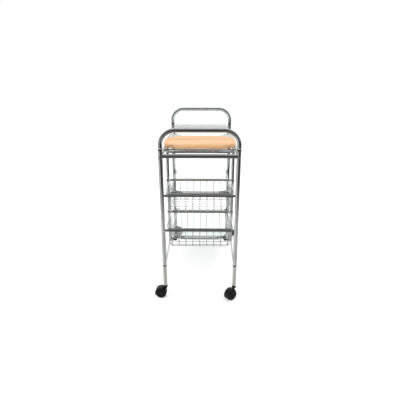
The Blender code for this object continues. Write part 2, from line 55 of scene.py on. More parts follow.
def setInput(tree, socket, value):      # value is a plain value, or the output that feeds the socket
    if isinstance(value, bpy.types.NodeSocket):
        tree.links.new(value, socket)
    else:
        socket.default_value = value


def mathNode(tree, operation, first, second=None):
    node = tree.nodes.new("ShaderNodeMath")
    node.operation = operation
    setInput(tree, node.inputs[0], first)
    if second is not None:
        setInput(tree, node.inputs[1], second)
    return node.outputs[0]


def mixColours(tree, factor, first, second, blend="MIX"):
    mix = tree.nodes.new("ShaderNodeMix")
    mix.data_type = "RGBA"
    mix.blend_type = blend
    setInput(tree, mix.inputs["Factor"], factor)
    setInput(tree, mix.inputs["A"], first)
    setInput(tree, mix.inputs["B"], second)
    return mix.outputs["Result"]


def spreadNode(tree, value, low, high, toLow=0.0, toHigh=1.0):
    spread = tree.nodes.new("ShaderNodeMapRange")
    spread.inputs["From Min"].default_value = low
    spread.inputs["From Max"].default_value = high
    setInput(tree, spread.inputs["To Min"], toLow)
    setInput(tree, spread.inputs["To Max"], toHigh)
    setInput(tree, spread.inputs["Value"], value)
    return spread.outputs["Result"]


def toneRamp(tree, value, tones):
    ramp = tree.nodes.new("ShaderNodeValToRGB")
    points = ramp.color_ramp.elements
    while len(points) < len(tones):
        points.new(0.5)
    for point, (spot, tone) in zip(points, tones):
        point.position = spot
        point.color = (tone, tone, tone, 1)
    setInput(tree, ramp.inputs["Fac"], value)
    return ramp.outputs["Color"]


def newMaterial(name):
    made = bpy.data.materials.new(name)
    made.use_nodes = True
    return made, made.node_tree, made.node_tree.nodes["Principled BSDF"]


# camera, floor and light

cameraSettings = {
    "lens": 33.0,
    "sensor": 36.0,
    "place": (0.022, -1.900, 1.1345),
    "lookDown": 21.3,
    "turn": 0.75,
    "farClip": 200.0,
}


def makeCamera(settings):
    data = bpy.data.cameras.new("cartCamera")
    data.lens = settings["lens"]
    data.sensor_width = settings["sensor"]
    data.clip_end = settings["farClip"]
    camera = bpy.data.objects.new("cartCamera", data)
    bpy.context.scene.collection.objects.link(camera)
    camera.location = settings["place"]
    camera.rotation_euler = (math.radians(90 - settings["lookDown"]), 0, math.radians(settings["turn"]))
    bpy.context.scene.camera = camera


studioSettings = {
    "floorRadius": 40.0,
    "floorColour": (0.90, 0.90, 0.895, 1),
    "floorRough": 0.85,
    "floorGlow": 0.30,
    "lights": [      # name, place, aim, power, size
        ("topLight", (0.1, 0.15, 3.0), (0, 0, 0.3), 30.0, 2.6),
        ("keyLight", (-1.7, -1.9, 2.3), (0, -0.1, 0.5), 16.0, 1.1),
        ("fillLight", (2.2, -0.6, 1.6), (0, 0, 0.5), 6.0, 1.1),
    ],
    "roomStrength": 0.85,
    "ceilingFrom": (-0.10, 0.15),      # the rise of a direction, between which two tones blend
    "lowFrom": (-0.32, -0.43),
    "pitFrom": (-0.60, -0.82),
    "pitTone": (0.020, 0.020, 0.020, 1),
    "wallTones": [                     # once around, the basket end at 0.5
        (0.0, 0.60), (0.09, 0.12), (0.155, 0.10), (0.24, 0.52), (0.34, 0.66), (0.41, 0.34),
        (0.465, 0.12), (0.482, 0.025), (0.522, 0.015), (0.555, 0.11), (0.62, 0.035), (0.71, 0.02),
        (0.77, 0.16), (0.83, 0.62), (0.91, 0.25), (1.0, 0.60),
    ],
    "lowTones": [
        (0.0, 0.62), (0.10, 0.48), (0.16, 0.50), (0.24, 0.66), (0.36, 0.74), (0.46, 0.58), (0.482, 0.36),
        (0.520, 0.34), (0.54, 0.43), (0.62, 0.42), (0.70, 0.42), (0.80, 0.50), (0.90, 0.44), (1.0, 0.62),
    ],
    "ceilingTones": [                  # from the basket end to the shelf end
        (0.0, 0.015), (0.09, 0.025), (0.16, 0.24), (0.40, 0.34), (0.55, 0.20), (0.70, 0.55),
        (0.82, 1.0), (1.0, 1.0),
    ],
}


def stageDisc(name, place, radius, material):
    shape = bmesh.new()
    bmesh.ops.create_circle(shape, segments=96, radius=radius, cap_ends=True)
    mesh = bpy.data.meshes.new(name)
    shape.to_mesh(mesh)
    shape.free()
    mesh.materials.append(material)
    made = bpy.data.objects.new(name, mesh)
    made.location = place
    bpy.context.scene.collection.objects.link(made)
    return made


def areaLight(name, place, target, power, size):
    data = bpy.data.lights.new(name, "AREA")
    data.energy = power
    data.size = size
    light = bpy.data.objects.new(name, data)
    light.location = place
    light.rotation_euler = (Vector(target) - Vector(place)).to_track_quat("-Z", "Y").to_euler()
    light.visible_glossy = False
    bpy.context.scene.collection.objects.link(light)


def makeRoom(settings):      # an even white room for light, and toned walls for polished metal to mirror
    world = bpy.data.worlds.new("studio")
    bpy.context.scene.world = world
    world.use_nodes = True
    tree = world.node_tree
    background = tree.nodes["Background"]
    where = tree.nodes.new("ShaderNodeTexCoord")
    split = tree.nodes.new("ShaderNodeSeparateXYZ")
    setInput(tree, split.inputs[0], where.outputs["Generated"])
    toFront = mathNode(tree, "MULTIPLY", split.outputs["Y"], -1.0)
    around = mathNode(tree, "ARCTAN2", split.outputs["X"], toFront)     # 0 towards the basket end
    turn = spreadNode(tree, around, -math.pi, math.pi)
    depth = spreadNode(tree, split.outputs["Y"], -1.0, 1.0)
    walls = toneRamp(tree, turn, settings["wallTones"])
    low = toneRamp(tree, turn, settings["lowTones"])
    ceiling = toneRamp(tree, depth, settings["ceilingTones"])
    tones = walls
    for span, other in (("lowFrom", low), ("ceilingFrom", ceiling), ("pitFrom", settings["pitTone"])):
        tones = mixColours(tree, spreadNode(tree, split.outputs["Z"], *settings[span]), tones, other)
    ray = tree.nodes.new("ShaderNodeLightPath")
    shown = mixColours(tree, ray.outputs["Is Glossy Ray"], (1.0, 1.0, 1.0, 1), tones)
    direct = mathNode(tree, "MAXIMUM", ray.outputs["Is Camera Ray"], ray.outputs["Is Glossy Ray"])
    strength = spreadNode(tree, direct, 0.0, 1.0, settings["roomStrength"], 1.0)
    setInput(tree, background.inputs["Color"], shown)
    setInput(tree, background.inputs["Strength"], strength)


def makeStudio(settings):
    makeRoom(settings)
    floor, tree, shader = newMaterial("floorWhite")
    shader.inputs["Base Color"].default_value = settings["floorColour"]
    shader.inputs["Roughness"].default_value = settings["floorRough"]
    shader.inputs["Emission Color"].default_value = (1, 1, 1, 1)
    shader.inputs["Emission Strength"].default_value = settings["floorGlow"]
    stageDisc("floor", (0, 0, 0), settings["floorRadius"], floor).visible_glossy = False
    for light in settings["lights"]:
        areaLight(*light)
    bpy.context.scene.view_settings.view_transform = "Standard"


makeCamera(cameraSettings)
makeStudio(studioSettings)
print("camera and studio ready")


# finishes


def newGroup(name, inputs, outputs):
    group = bpy.data.node_groups.new(name, "ShaderNodeTree")
    for label, kind, value in inputs:
        socket = group.interface.new_socket(label, in_out="INPUT", socket_type=kind)
        socket.default_value = value
    for label, kind in outputs:
        group.interface.new_socket(label, in_out="OUTPUT", socket_type=kind)
    start = group.nodes.new("NodeGroupInput")
    end = group.nodes.new("NodeGroupOutput")
    return group, start, end


def noiseNode(tree, scale, detail):
    place = tree.nodes.new("ShaderNodeTexCoord")
    noise = tree.nodes.new("ShaderNodeTexNoise")
    noise.inputs["Detail"].default_value = detail
    setInput(tree, noise.inputs["Scale"], scale)
    setInput(tree, noise.inputs["Vector"], place.outputs["Object"])
    return noise.outputs["Fac"]


def makeSmudgeGroup():     # roughness that wanders between two values, as wiped metal and glass do
    group, start, end = newGroup(
        "smudge",
        [
            ("Scale", "NodeSocketFloat", 18.0),
            ("Low", "NodeSocketFloat", 0.05),
            ("High", "NodeSocketFloat", 0.15),
        ],
        [("Roughness", "NodeSocketFloat"), ("Mask", "NodeSocketFloat")],
    )
    mask = spreadNode(group, noiseNode(group, start.outputs["Scale"], 5.0), 0.35, 0.70)
    level = spreadNode(group, mask, 0.0, 1.0, start.outputs["Low"], start.outputs["High"])
    setInput(group, end.inputs["Mask"], mask)
    setInput(group, end.inputs["Roughness"], level)
    return group


def makeGrainGroup():      # a fine even bump
    group, start, end = newGroup(
        "fineGrain",
        [("Scale", "NodeSocketFloat", 900.0), ("Depth", "NodeSocketFloat", 0.00004)],
        [("Normal", "NodeSocketVector")],
    )
    bump = group.nodes.new("ShaderNodeBump")
    setInput(group, bump.inputs["Distance"], start.outputs["Depth"])
    setInput(group, bump.inputs["Height"], noiseNode(group, start.outputs["Scale"], 2.0))
    setInput(group, end.inputs["Normal"], bump.outputs["Normal"])
    return group


def makeWearGroup():       # two colours, the second where an edge is rubbed
    group, start, end = newGroup(
        "edgeWear",
        [
            ("Body", "NodeSocketColor", (0.5, 0.5, 0.5, 1)),
            ("Rubbed", "NodeSocketColor", (0.7, 0.7, 0.7, 1)),
            ("Amount", "NodeSocketFloat", 0.5),
        ],
        [("Color", "NodeSocketColor"), ("Mask", "NodeSocketFloat")],
    )
    geometry = group.nodes.new("ShaderNodeNewGeometry")
    edge = spreadNode(group, geometry.outputs["Pointiness"], 0.52, 0.62)
    patch = mathNode(group, "MULTIPLY", edge, noiseNode(group, 60.0, 4.0))
    amount = mathNode(group, "MULTIPLY", patch, start.outputs["Amount"])
    colour = mixColours(group, amount, start.outputs["Body"], start.outputs["Rubbed"])
    setInput(group, end.inputs["Color"], colour)
    setInput(group, end.inputs["Mask"], amount)
    return group


smudgeGroup = makeSmudgeGroup()
grainGroup = makeGrainGroup()
wearGroup = makeWearGroup()


def addGroup(tree, group, values):
    node = tree.nodes.new("ShaderNodeGroup")
    node.node_tree = group
    for label, value in values.items():
        setInput(tree, node.inputs[label], value)
    return node


def addSmudge(tree, shader, patch, low, high):
    smudge = addGroup(tree, smudgeGroup, {"Scale": patch, "Low": low, "High": high})
    setInput(tree, shader.inputs["Roughness"], smudge.outputs["Roughness"])
    return smudge.outputs["Mask"]


def addGrain(tree, shader, scale, depth):
    grain = addGroup(tree, grainGroup, {"Scale": scale, "Depth": depth})
    setInput(tree, shader.inputs["Normal"], grain.outputs["Normal"])


def makeMetal(name, settings):
    made, tree, shader = newMaterial(name)
    shader.inputs["Metallic"].default_value = settings["metal"]
    mask = addSmudge(tree, shader, settings["patch"], settings["low"], settings["high"])
    setInput(tree, shader.inputs["Base Color"], mixColours(tree, mask, settings["colour"], settings["dull"]))
    addGrain(tree, shader, settings["grain"], settings["depth"])
    return made


def makePlastic(name, settings):
    made, tree, shader = newMaterial(name)
    values = {"Body": settings["colour"], "Rubbed": settings["rubbed"], "Amount": settings["wear"]}
    setInput(tree, shader.inputs["Base Color"], addGroup(tree, wearGroup, values).outputs["Color"])
    addSmudge(tree, shader, settings["patch"], settings["low"], settings["high"])
    addGrain(tree, shader, settings["grain"], settings["depth"])
    return made


def makeGlass(name, settings):
    made, tree, shader = newMaterial(name)
    shader.inputs["Base Color"].default_value = settings["colour"]
    shader.inputs["Transmission Weight"].default_value = 1.0
    shader.inputs["IOR"].default_value = settings["bending"]
    addSmudge(tree, shader, settings["patch"], settings["low"], settings["high"])
    return made


woodSettings = {
    "pale": (0.80, 0.50, 0.27, 1),
    "warm": (0.67, 0.35, 0.155, 1),
    "line": (0.45, 0.20, 0.06, 1),
    "stave": 0.034,
    "lineShare": 0.022,
    "staveShift": 7.3,
    "stretch": (1.0, 22.0, 22.0),
    "grainScale": 5.0,
    "grainRange": (0.36, 0.66),
    "staveShade": 0.35,
    "wear": 0.6,
    "rough": (0.38, 0.55),
    "bump": 0.0002,
}


def makeWood(settings):
    made, tree, shader = newMaterial("boardWood")
    place = tree.nodes.new("ShaderNodeTexCoord").outputs["Object"]
    split = tree.nodes.new("ShaderNodeSeparateXYZ")
    setInput(tree, split.inputs[0], place)
    count = mathNode(tree, "DIVIDE", split.outputs["Y"], settings["stave"])
    shade = tree.nodes.new("ShaderNodeTexWhiteNoise")      # one random shade for each stave
    shade.noise_dimensions = "1D"
    setInput(tree, shade.inputs["W"], mathNode(tree, "FLOOR", count))
    stretch = tree.nodes.new("ShaderNodeMapping")
    stretch.inputs["Scale"].default_value = settings["stretch"]
    setInput(tree, stretch.inputs["Vector"], place)
    offset = tree.nodes.new("ShaderNodeVectorMath")        # each stave's grain starts somewhere else
    offset.operation = "ADD"
    setInput(tree, offset.inputs[0], stretch.outputs["Vector"])
    shift = mathNode(tree, "MULTIPLY", shade.outputs["Value"], settings["staveShift"])
    setInput(tree, offset.inputs[1], shift)
    grain = tree.nodes.new("ShaderNodeTexNoise")
    grain.inputs["Scale"].default_value = settings["grainScale"]
    grain.inputs["Detail"].default_value = 8.0
    grain.inputs["Distortion"].default_value = 0.6
    setInput(tree, grain.inputs["Vector"], offset.outputs["Vector"])
    fibre = tree.nodes.new("ShaderNodeValToRGB")
    for point, spot in zip(fibre.color_ramp.elements, settings["grainRange"]):
        point.position = spot
    setInput(tree, fibre.inputs["Fac"], grain.outputs["Fac"])
    colour = mixColours(tree, fibre.outputs["Color"], settings["warm"], settings["pale"])
    grey = tree.nodes.new("ShaderNodeHueSaturation")       # staves differ a little in tone
    grey.inputs["Saturation"].default_value = 0.0
    grey.inputs["Value"].default_value = 1.5
    setInput(tree, grey.inputs["Color"], shade.outputs["Color"])
    colour = mixColours(tree, settings["staveShade"], colour, grey.outputs["Color"], "MULTIPLY")
    glue = mathNode(tree, "LESS_THAN", mathNode(tree, "FRACT", count), settings["lineShare"])
    colour = mixColours(tree, glue, colour, settings["line"])
    values = {"Body": colour, "Rubbed": settings["pale"], "Amount": settings["wear"]}
    setInput(tree, shader.inputs["Base Color"], addGroup(tree, wearGroup, values).outputs["Color"])
    smooth, coarse = settings["rough"]
    roughness = spreadNode(tree, grain.outputs["Fac"], 0.0, 1.0, coarse, smooth)
    setInput(tree, shader.inputs["Roughness"], roughness)
    bump = tree.nodes.new("ShaderNodeBump")
    bump.inputs["Distance"].default_value = settings["bump"]
    bump.inputs["Strength"].default_value = 0.5
    setInput(tree, bump.inputs["Height"], grain.outputs["Fac"])
    setInput(tree, shader.inputs["Normal"], bump.outputs["Normal"])
    return made


chromeSettings = {
    "metal": 1.0,
    "colour": (0.80, 0.81, 0.82, 1),
    "dull": (0.70, 0.71, 0.72, 1),
    "patch": 14.0,
    "low": 0.025,
    "high": 0.07,
    "grain": 500.0,
    "depth": 0.000004,
}
wireSettings = dict(chromeSettings, colour=(0.90, 0.91, 0.92, 1), low=0.16, high=0.26, patch=40.0)
satinSettings = dict(
    chromeSettings, metal=0.55, colour=(0.60, 0.61, 0.58, 1), dull=(0.52, 0.53, 0.50, 1),
    low=0.26, high=0.38, grain=900.0, depth=0.00001,
)
zincSettings = dict(
    chromeSettings, colour=(0.55, 0.55, 0.53, 1), dull=(0.42, 0.42, 0.41, 1), low=0.22, high=0.40
)
blackSettings = {
    "colour": (0.0025, 0.0025, 0.003, 1),
    "rubbed": (0.02, 0.02, 0.02, 1),
    "wear": 0.9,
    "patch": 30.0,
    "low": 0.28,
    "high": 0.42,
    "grain": 1400.0,
    "depth": 0.00004,
}
wheelSettings = dict(
    blackSettings, colour=(0.0035, 0.0035, 0.004, 1), rubbed=(0.035, 0.034, 0.032, 1), low=0.38, high=0.6
)
glassSettings = {"colour": (0.93, 0.985, 0.965, 1), "bending": 1.5, "patch": 9.0, "low": 0.0, "high": 0.03}

chrome = makeMetal("polishedChrome", chromeSettings)
wireChrome = makeMetal("brightWire", wireSettings)
satin = makeMetal("satinSteel", satinSettings)
zinc = makeMetal("zincSteel", zincSettings)
black = makePlastic("blackPlastic", blackSettings)
wheelBlack = makePlastic("wheelPlastic", wheelSettings)
glass = makeGlass("clearGlass", glassSettings)
wood = makeWood(woodSettings)
print("finishes ready")


# making shapes


def ringEdges(verts):
    inRing = set(verts)
    edges = {edge for vert in verts for edge in vert.link_edges}
    return [edge for edge in edges if edge.verts[0] in inRing and edge.verts[1] in inRing]


def startRing(shape, centre, heading, radius, count):
    turn = up.rotation_difference(heading).to_matrix().to_4x4()
    made = bmesh.ops.create_circle(
        shape, segments=count, radius=radius, matrix=Matrix.Translation(centre) @ turn
    )
    return ringEdges(made["verts"])


def runStraight(shape, edges, step):
    grown = bmesh.ops.extrude_edge_only(shape, edges=edges)
    verts = [item for item in grown["geom"] if isinstance(item, bmesh.types.BMVert)]
    bmesh.ops.translate(shape, vec=step, verts=verts)
    return ringEdges(verts)


def runBend(shape, edges, centre, axis, angle, steps):
    verts = list({vert for edge in edges for vert in edge.verts})
    turned = bmesh.ops.spin(
        shape, geom=verts + edges, cent=centre, axis=axis, angle=angle, steps=steps,
        use_merge=False, use_duplicate=False,
    )
    return [item for item in turned["geom_last"] if isinstance(item, bmesh.types.BMEdge)]


def addPipe(shape, points, radius, bendRadius=0.01, count=32, steps=10, closed=False):
    spots = [Vector(point) for point in points]
    if closed:              # start halfway along the last side, and come back to it
        spots = [(spots[-1] + spots[0]) / 2] + spots + [(spots[-1] + spots[0]) / 2]
    total = len(spots)
    heading = (spots[1] - spots[0]).normalized()
    edges = startRing(shape, spots[0], heading, radius, count)
    here = spots[0]
    margin = min(radius, (spots[1] - spots[0]).length / 4, (spots[-1] - spots[-2]).length / 4)
    if not closed:          # a ring close to each end keeps the shading of the long faces straight
        edges = runStraight(shape, edges, heading * margin)
        here = spots[0] + heading * margin
    for index in range(1, total):
        target = spots[index]
        if index == total - 1:
            if not closed:
                edges = runStraight(shape, edges, target - heading * margin - here)
                here = target - heading * margin
            edges = runStraight(shape, edges, target - here)
            break
        following = (spots[index + 1] - target).normalized()
        angle = heading.angle(following)
        setback = bendRadius * math.tan(angle / 2)
        bendStart = target - heading * setback
        edges = runStraight(shape, edges, bendStart - here)
        axis = heading.cross(following).normalized()
        centre = bendStart + axis.cross(heading) * bendRadius
        edges = runBend(shape, edges, centre, axis, angle, steps)
        here = target + following * setback
        heading = following
    if closed:
        bmesh.ops.remove_doubles(shape, verts=shape.verts, dist=1e-5)
    else:
        bmesh.ops.holes_fill(shape, edges=[edge for edge in shape.edges if edge.is_boundary], sides=0)


def easeEdges(shape, width, segments=2, sharper=35.0):
    bmesh.ops.recalc_face_normals(shape, faces=shape.faces)
    hard = [
        edge for edge in shape.edges
        if len(edge.link_faces) == 2 and edge.calc_face_angle() > math.radians(sharper)
    ]
    bmesh.ops.bevel(
        shape, geom=hard, offset=width, offset_type="OFFSET", segments=segments, profile=0.5,
        affect="EDGES", clamp_overlap=True, material=-1,
    )


def joinInto(shape, part):
    carrier = bpy.data.meshes.new("carrier")
    part.to_mesh(carrier)
    part.free()
    shape.from_mesh(carrier)
    bpy.data.meshes.remove(carrier)


def addLathe(shape, profile, place=Matrix.Identity(4), steps=48, closed=False):
    part = bmesh.new()
    verts = [part.verts.new((radius, 0, height)) for radius, height in profile]
    edges = [part.edges.new(pair) for pair in zip(verts, verts[1:])]
    if closed:
        edges.append(part.edges.new((verts[-1], verts[0])))
    bmesh.ops.spin(
        part, geom=verts + edges, cent=(0, 0, 0), axis=(0, 0, 1), angle=math.tau, steps=steps, use_merge=True
    )
    bmesh.ops.remove_doubles(part, verts=part.verts, dist=1e-6)
    bmesh.ops.transform(part, matrix=place, verts=part.verts)
    joinInto(shape, part)


def addPanel(shape, low, high, cornerRadius, edgeWidth, whichCorners="all", edgeSegments=3):
    part = bmesh.new()
    middle = (low + high) / 2
    bmesh.ops.create_grid(part, x_segments=1, y_segments=1, size=0.5)
    bmesh.ops.scale(part, vec=(high.x - low.x, high.y - low.y, 1), verts=part.verts)
    bmesh.ops.translate(part, vec=(middle.x, middle.y, low.z), verts=part.verts)
    rounded = [vert for vert in part.verts if whichCorners == "all" or vert.co.y < middle.y]
    bmesh.ops.bevel(
        part, geom=rounded, offset=cornerRadius, offset_type="OFFSET", segments=14, profile=0.5,
        affect="VERTICES", clamp_overlap=True, material=-1,
    )
    grown = bmesh.ops.extrude_face_region(part, geom=list(part.faces))
    lifted = [item for item in grown["geom"] if isinstance(item, bmesh.types.BMVert)]
    bmesh.ops.translate(part, vec=(0, 0, high.z - low.z), verts=lifted)
    bmesh.ops.recalc_face_normals(part, faces=part.faces)
    flat = [face for face in part.faces if abs(face.normal.z) > 0.9]
    rims = list({edge for face in flat for edge in face.edges})
    bmesh.ops.bevel(
        part, geom=rims, offset=edgeWidth, offset_type="OFFSET", segments=edgeSegments, profile=0.5,
        affect="EDGES", clamp_overlap=True, material=-1,
    )
    joinInto(shape, part)


def finishPiece(name, shape, finish, body, replaced):
    bmesh.ops.recalc_face_normals(shape, faces=shape.faces)
    mesh = bpy.data.meshes.new(name)
    shape.to_mesh(mesh)
    shape.free()
    mesh.materials.append(finish)
    mesh.shade_smooth()
    mesh.set_sharp_from_angle(angle=math.radians(38))
    for polygon in mesh.polygons:
        if len(polygon.vertices) > 4:       # flat ends and panel faces stay flat beside their rounded edges
            polygon.use_smooth = False
    piece = bpy.data.objects.new(name, mesh)
    bpy.context.scene.collection.objects.link(piece)
    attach(piece, body)
    if replaced:
        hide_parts(*replaced)


def middleOf(node):
    low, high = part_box(node)
    return (low + high) / 2


def turnUpTo(direction):        # the turn that takes +Z to this direction
    return up.rotation_difference(Vector(direction)).to_matrix().to_4x4()


# legs, hoops and rails

legSettings = {
    "seamGap": 0.0006,
    "lowerFit": 0.0003,
    "endEase": 0.0006,
    "ringHeight": 0.0036,
    "ringWall": 0.0012,
    "ringProud": 0.0004,
    "ringEase": 0.0003,
}


def makeLegs(settings):
    for corner in corners:
        low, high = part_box("leg_" + corner)
        middle = (low + high) / 2
        radius = (high.x - low.x) / 2
        shape = bmesh.new()
        addPipe(shape, [(middle.x, middle.y, low.z), (middle.x, middle.y, high.z)], radius)
        easeEdges(shape, settings["endEase"])
        finishPiece("legTube_" + corner, shape, chrome, "frame", ["leg_" + corner])
        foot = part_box("lower_leg_" + corner)[0]
        top = low.z - settings["seamGap"]
        route = [(middle.x, middle.y, foot.z), (middle.x, middle.y, top)]
        shape = bmesh.new()
        addPipe(shape, route, radius - settings["lowerFit"])
        easeEdges(shape, settings["endEase"])
        finishPiece("lowerLeg_" + corner, shape, satin, "frame", ["lower_leg_" + corner])
        ringTop = low.z + settings["ringHeight"] / 2
        ringFoot = low.z - settings["ringHeight"] / 2
        inner = radius - settings["ringWall"]
        outer = radius + settings["ringProud"]
        ring = [(inner, ringFoot), (outer, ringFoot), (outer, ringTop), (inner, ringTop)]
        shape = bmesh.new()
        addLathe(shape, ring, Matrix.Translation((middle.x, middle.y, 0)), closed=True)
        easeEdges(shape, settings["ringEase"])
        finishPiece("jointRing_" + corner, shape, black, "frame", [])


hoopSettings = {"bend": 0.065, "steps": 20, "endEase": 0.0006, "collarSwell": 1.06, "collarEase": 0.0008}


def makeHoops(settings):
    for end in ("near", "far"):
        low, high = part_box(end + "_hoop")
        radius = (high.y - low.y) / 2
        y = (low.y + high.y) / 2
        left = low.x + radius
        right = high.x - radius
        top = high.z - radius
        shape = bmesh.new()
        route = [(left, y, low.z), (left, y, top), (right, y, top), (right, y, low.z)]
        addPipe(shape, route, radius, settings["bend"], count=40, steps=settings["steps"])
        easeEdges(shape, settings["endEase"])
        finishPiece(end + "Hoop", shape, chrome, "frame", [end + "_hoop"])
        wide = radius * settings["collarSwell"]
        for side in sides:
            corner = end + "_" + side
            node = "hoop_connector_" + corner
            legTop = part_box("leg_" + corner)[1].z
            spot = middleOf(node)
            collar = [(0.0, legTop), (wide, legTop), (wide, low.z), (0.0, low.z)]
            shape = bmesh.new()
            addLathe(shape, collar, Matrix.Translation((spot.x, spot.y, 0)))
            easeEdges(shape, settings["collarEase"])
            finishPiece("hoopCollar_" + corner, shape, black, "frame", [node])


railSettings = {
    "overlap": 0.0035,
    "crossFit": 0.985,
    "railNeck": 0.012,
    "railEase": 0.0012,
    "topFrameBend": 0.040,
    "boltProfile": [         # share of the head's radius, and height against its rim
        (0.0, -0.0015), (0.30, -0.0015), (0.36, 0.0), (0.62, -0.0006), (0.85, -0.0018),
        (1.0, -0.0036), (1.0, -0.0048), (0.4, -0.0050), (0.4, -0.012), (0.0, -0.012),
    ],
}


def makeCrossTubes(settings):
    for end in ("near", "far"):
        low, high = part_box(end + "_cross_tube")
        middle = (low + high) / 2
        radius = (high.z - low.z) / 2
        left = middleOf("leg_" + end + "_left").x + settings["overlap"]
        right = middleOf("leg_" + end + "_right").x - settings["overlap"]
        route = [(left, middle.y, middle.z), (right, middle.y, middle.z)]
        shape = bmesh.new()
        addPipe(shape, route, radius * settings["crossFit"])
        finishPiece(end + "CrossTube", shape, chrome, "frame", [end + "_cross_tube"])


def makeSideRails(settings):
    for side in sides:
        low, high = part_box("side_rail_" + side)
        middle = (low + high) / 2
        radius = (high.z - low.z) / 2
        neck = radius / 2
        half = (high.y - low.y) / 2
        shoulder = half - settings["railNeck"]
        profile = [
            (0.0, -half), (neck, -half), (neck, -shoulder), (radius, -shoulder + neck),
            (radius, shoulder - neck), (neck, shoulder), (neck, half), (0.0, half),
        ]
        shape = bmesh.new()
        addLathe(shape, profile, Matrix.Translation(middle) @ turnUpTo((0, 1, 0)), steps=32)
        easeEdges(shape, settings["railEase"], segments=3)
        finishPiece("sideRail_" + side, shape, chrome, "frame", ["side_rail_" + side])
    for corner in corners:
        low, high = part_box("rail_bolt_" + corner)
        middle = (low + high) / 2
        outward = -1 if corner.startswith("near") else 1
        head = (high.x - low.x) / 2
        outer = low.y if outward < 0 else high.y
        profile = [(share * head, height) for share, height in settings["boltProfile"]]
        place = Matrix.Translation((middle.x, outer, middle.z)) @ turnUpTo((0, outward, 0))
        shape = bmesh.new()
        addLathe(shape, profile, place, steps=32)
        finishPiece("railBolt_" + corner, shape, zinc, "frame", ["rail_bolt_" + corner])


def makeTopFrame(settings):
    low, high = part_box("top_frame")
    radius = (high.z - low.z) / 2
    z = (low.z + high.z) / 2
    inset = Vector((radius, radius, 0))
    near = low + inset
    far = high - inset
    route = [(near.x, near.y, z), (far.x, near.y, z), (far.x, far.y, z), (near.x, far.y, z)]
    shape = bmesh.new()
    addPipe(shape, route, radius, settings["topFrameBend"], count=28, steps=12, closed=True)
    finishPiece("topFrame", shape, chrome, "frame", ["top_frame"])


makeLegs(legSettings)
makeHoops(hoopSettings)
makeCrossTubes(railSettings)
makeSideRails(railSettings)
makeTopFrame(railSettings)
print("legs, hoops and rails made")


# the basket bay's posts and runner bars

baySettings = {
    "barEase": 0.0008,
    "rodEase": 0.0026,
    "stayDiameter": 0.008,
    "stayHeight": 0.196,
    "stayOverlap": 0.002,
}


def makeBay(settings):
    stayZ = settings["stayHeight"]
    for side in sides:
        low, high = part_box("mid_post_" + side)
        legMiddle = middleOf("leg_near_" + side)
        width = high.x - low.x
        x = (low.x + high.x) / 2
        y = high.y - width / 2
        shape = bmesh.new()
        addPipe(shape, [(x, y, low.z), (x, y, high.z)], width / 2)
        easeEdges(shape, settings["barEase"])
        stay = [(x, y, stayZ), (x, legMiddle.y + settings["stayOverlap"], stayZ)]
        addPipe(shape, stay, settings["stayDiameter"] / 2, count=20)
        finishPiece("midPost_" + side, shape, chrome, "frame", ["mid_post_" + side])
    for level in levels:
        for node, title, ease in (
            ("near_runner_bar_" + level, "nearBar_" + level, settings["barEase"]),
            ("mid_runner_rod_" + level, "midRod_" + level, settings["rodEase"]),
        ):
            low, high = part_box(node)
            middle = (low + high) / 2
            route = [(low.x, middle.y, middle.z), (high.x, middle.y, middle.z)]
            shape = bmesh.new()
            addPipe(shape, route, (high.z - low.z) / 2)
            easeEdges(shape, ease, segments=4)
            finishPiece(title, shape, chrome, "frame", [node])


makeBay(baySettings)
print("basket bay made")


# glass top, shelves and board

panelSettings = {
    "topCorner": 0.030,
    "shelfBend": 0.075,
    "glassEdge": 0.0011,
    "boardCorner": 0.085,
    "boardEdge": 0.0045,
    "clipCorner": 0.004,
    "clipEase": 0.0012,
}


def makePanels(settings):
    low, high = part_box("glass_top")
    shape = bmesh.new()
    addPanel(shape, low, high, settings["topCorner"], settings["glassEdge"])
    finishPiece("glassTop", shape, glass, "frame", ["glass_top"])
    low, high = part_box("wood_board")
    shape = bmesh.new()
    addPanel(shape, low, high, settings["boardCorner"], settings["boardEdge"], edgeSegments=5)
    finishPiece("woodBoard", shape, wood, "frame", ["wood_board"])
    for level in levels:
        low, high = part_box("shelf_glass_" + level)
        shape = bmesh.new()
        addPanel(shape, low, high, settings["shelfBend"], settings["glassEdge"], whichCorners="near")
        finishPiece("shelfGlass_" + level, shape, glass, "frame", ["shelf_glass_" + level])
        low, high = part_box("shelf_tube_" + level)
        radius = (high.z - low.z) / 2
        z = (low.z + high.z) / 2
        left = low.x + radius
        right = high.x - radius
        near = low.y + radius
        shape = bmesh.new()
        route = [(left, high.y, z), (left, near, z), (right, near, z), (right, high.y, z)]
        addPipe(shape, route, radius, settings["shelfBend"], count=28, steps=16)
        finishPiece("shelfTube_" + level, shape, chrome, "frame", ["shelf_tube_" + level])
        for side in sides:
            node = "shelf_clip_" + level + "_" + side
            low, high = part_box(node)
            shape = bmesh.new()
            addPanel(shape, low, high, settings["clipCorner"], settings["clipEase"])
            finishPiece("shelfClip_" + level + "_" + side, shape, black, "frame", [node])


makePanels(panelSettings)
print("glass, board and shelves made")


# baskets

basketSettings = {
    "rimRadius": 0.0027,
    "rimBend": 0.018,
    "wireRadius": 0.0013,
    "floorInX": 0.0135,
    "floorInY": 0.0165,
    "wallInX": 0.0070,
    "wallInY": 0.0082,
    "lip": 0.009,
    "footBend": 0.006,
    "acrossPitch": 0.034,
    "alongPitch": 0.032,
    "sideMargin": 0.004,
    "weldSink": 0.0002,
    "loopBend": 0.012,
    "loopLift": 0.0015,
}


def flatLoop(left, near, right, far, z):
    return [(left, near, z), (right, near, z), (right, far, z), (left, far, z)]


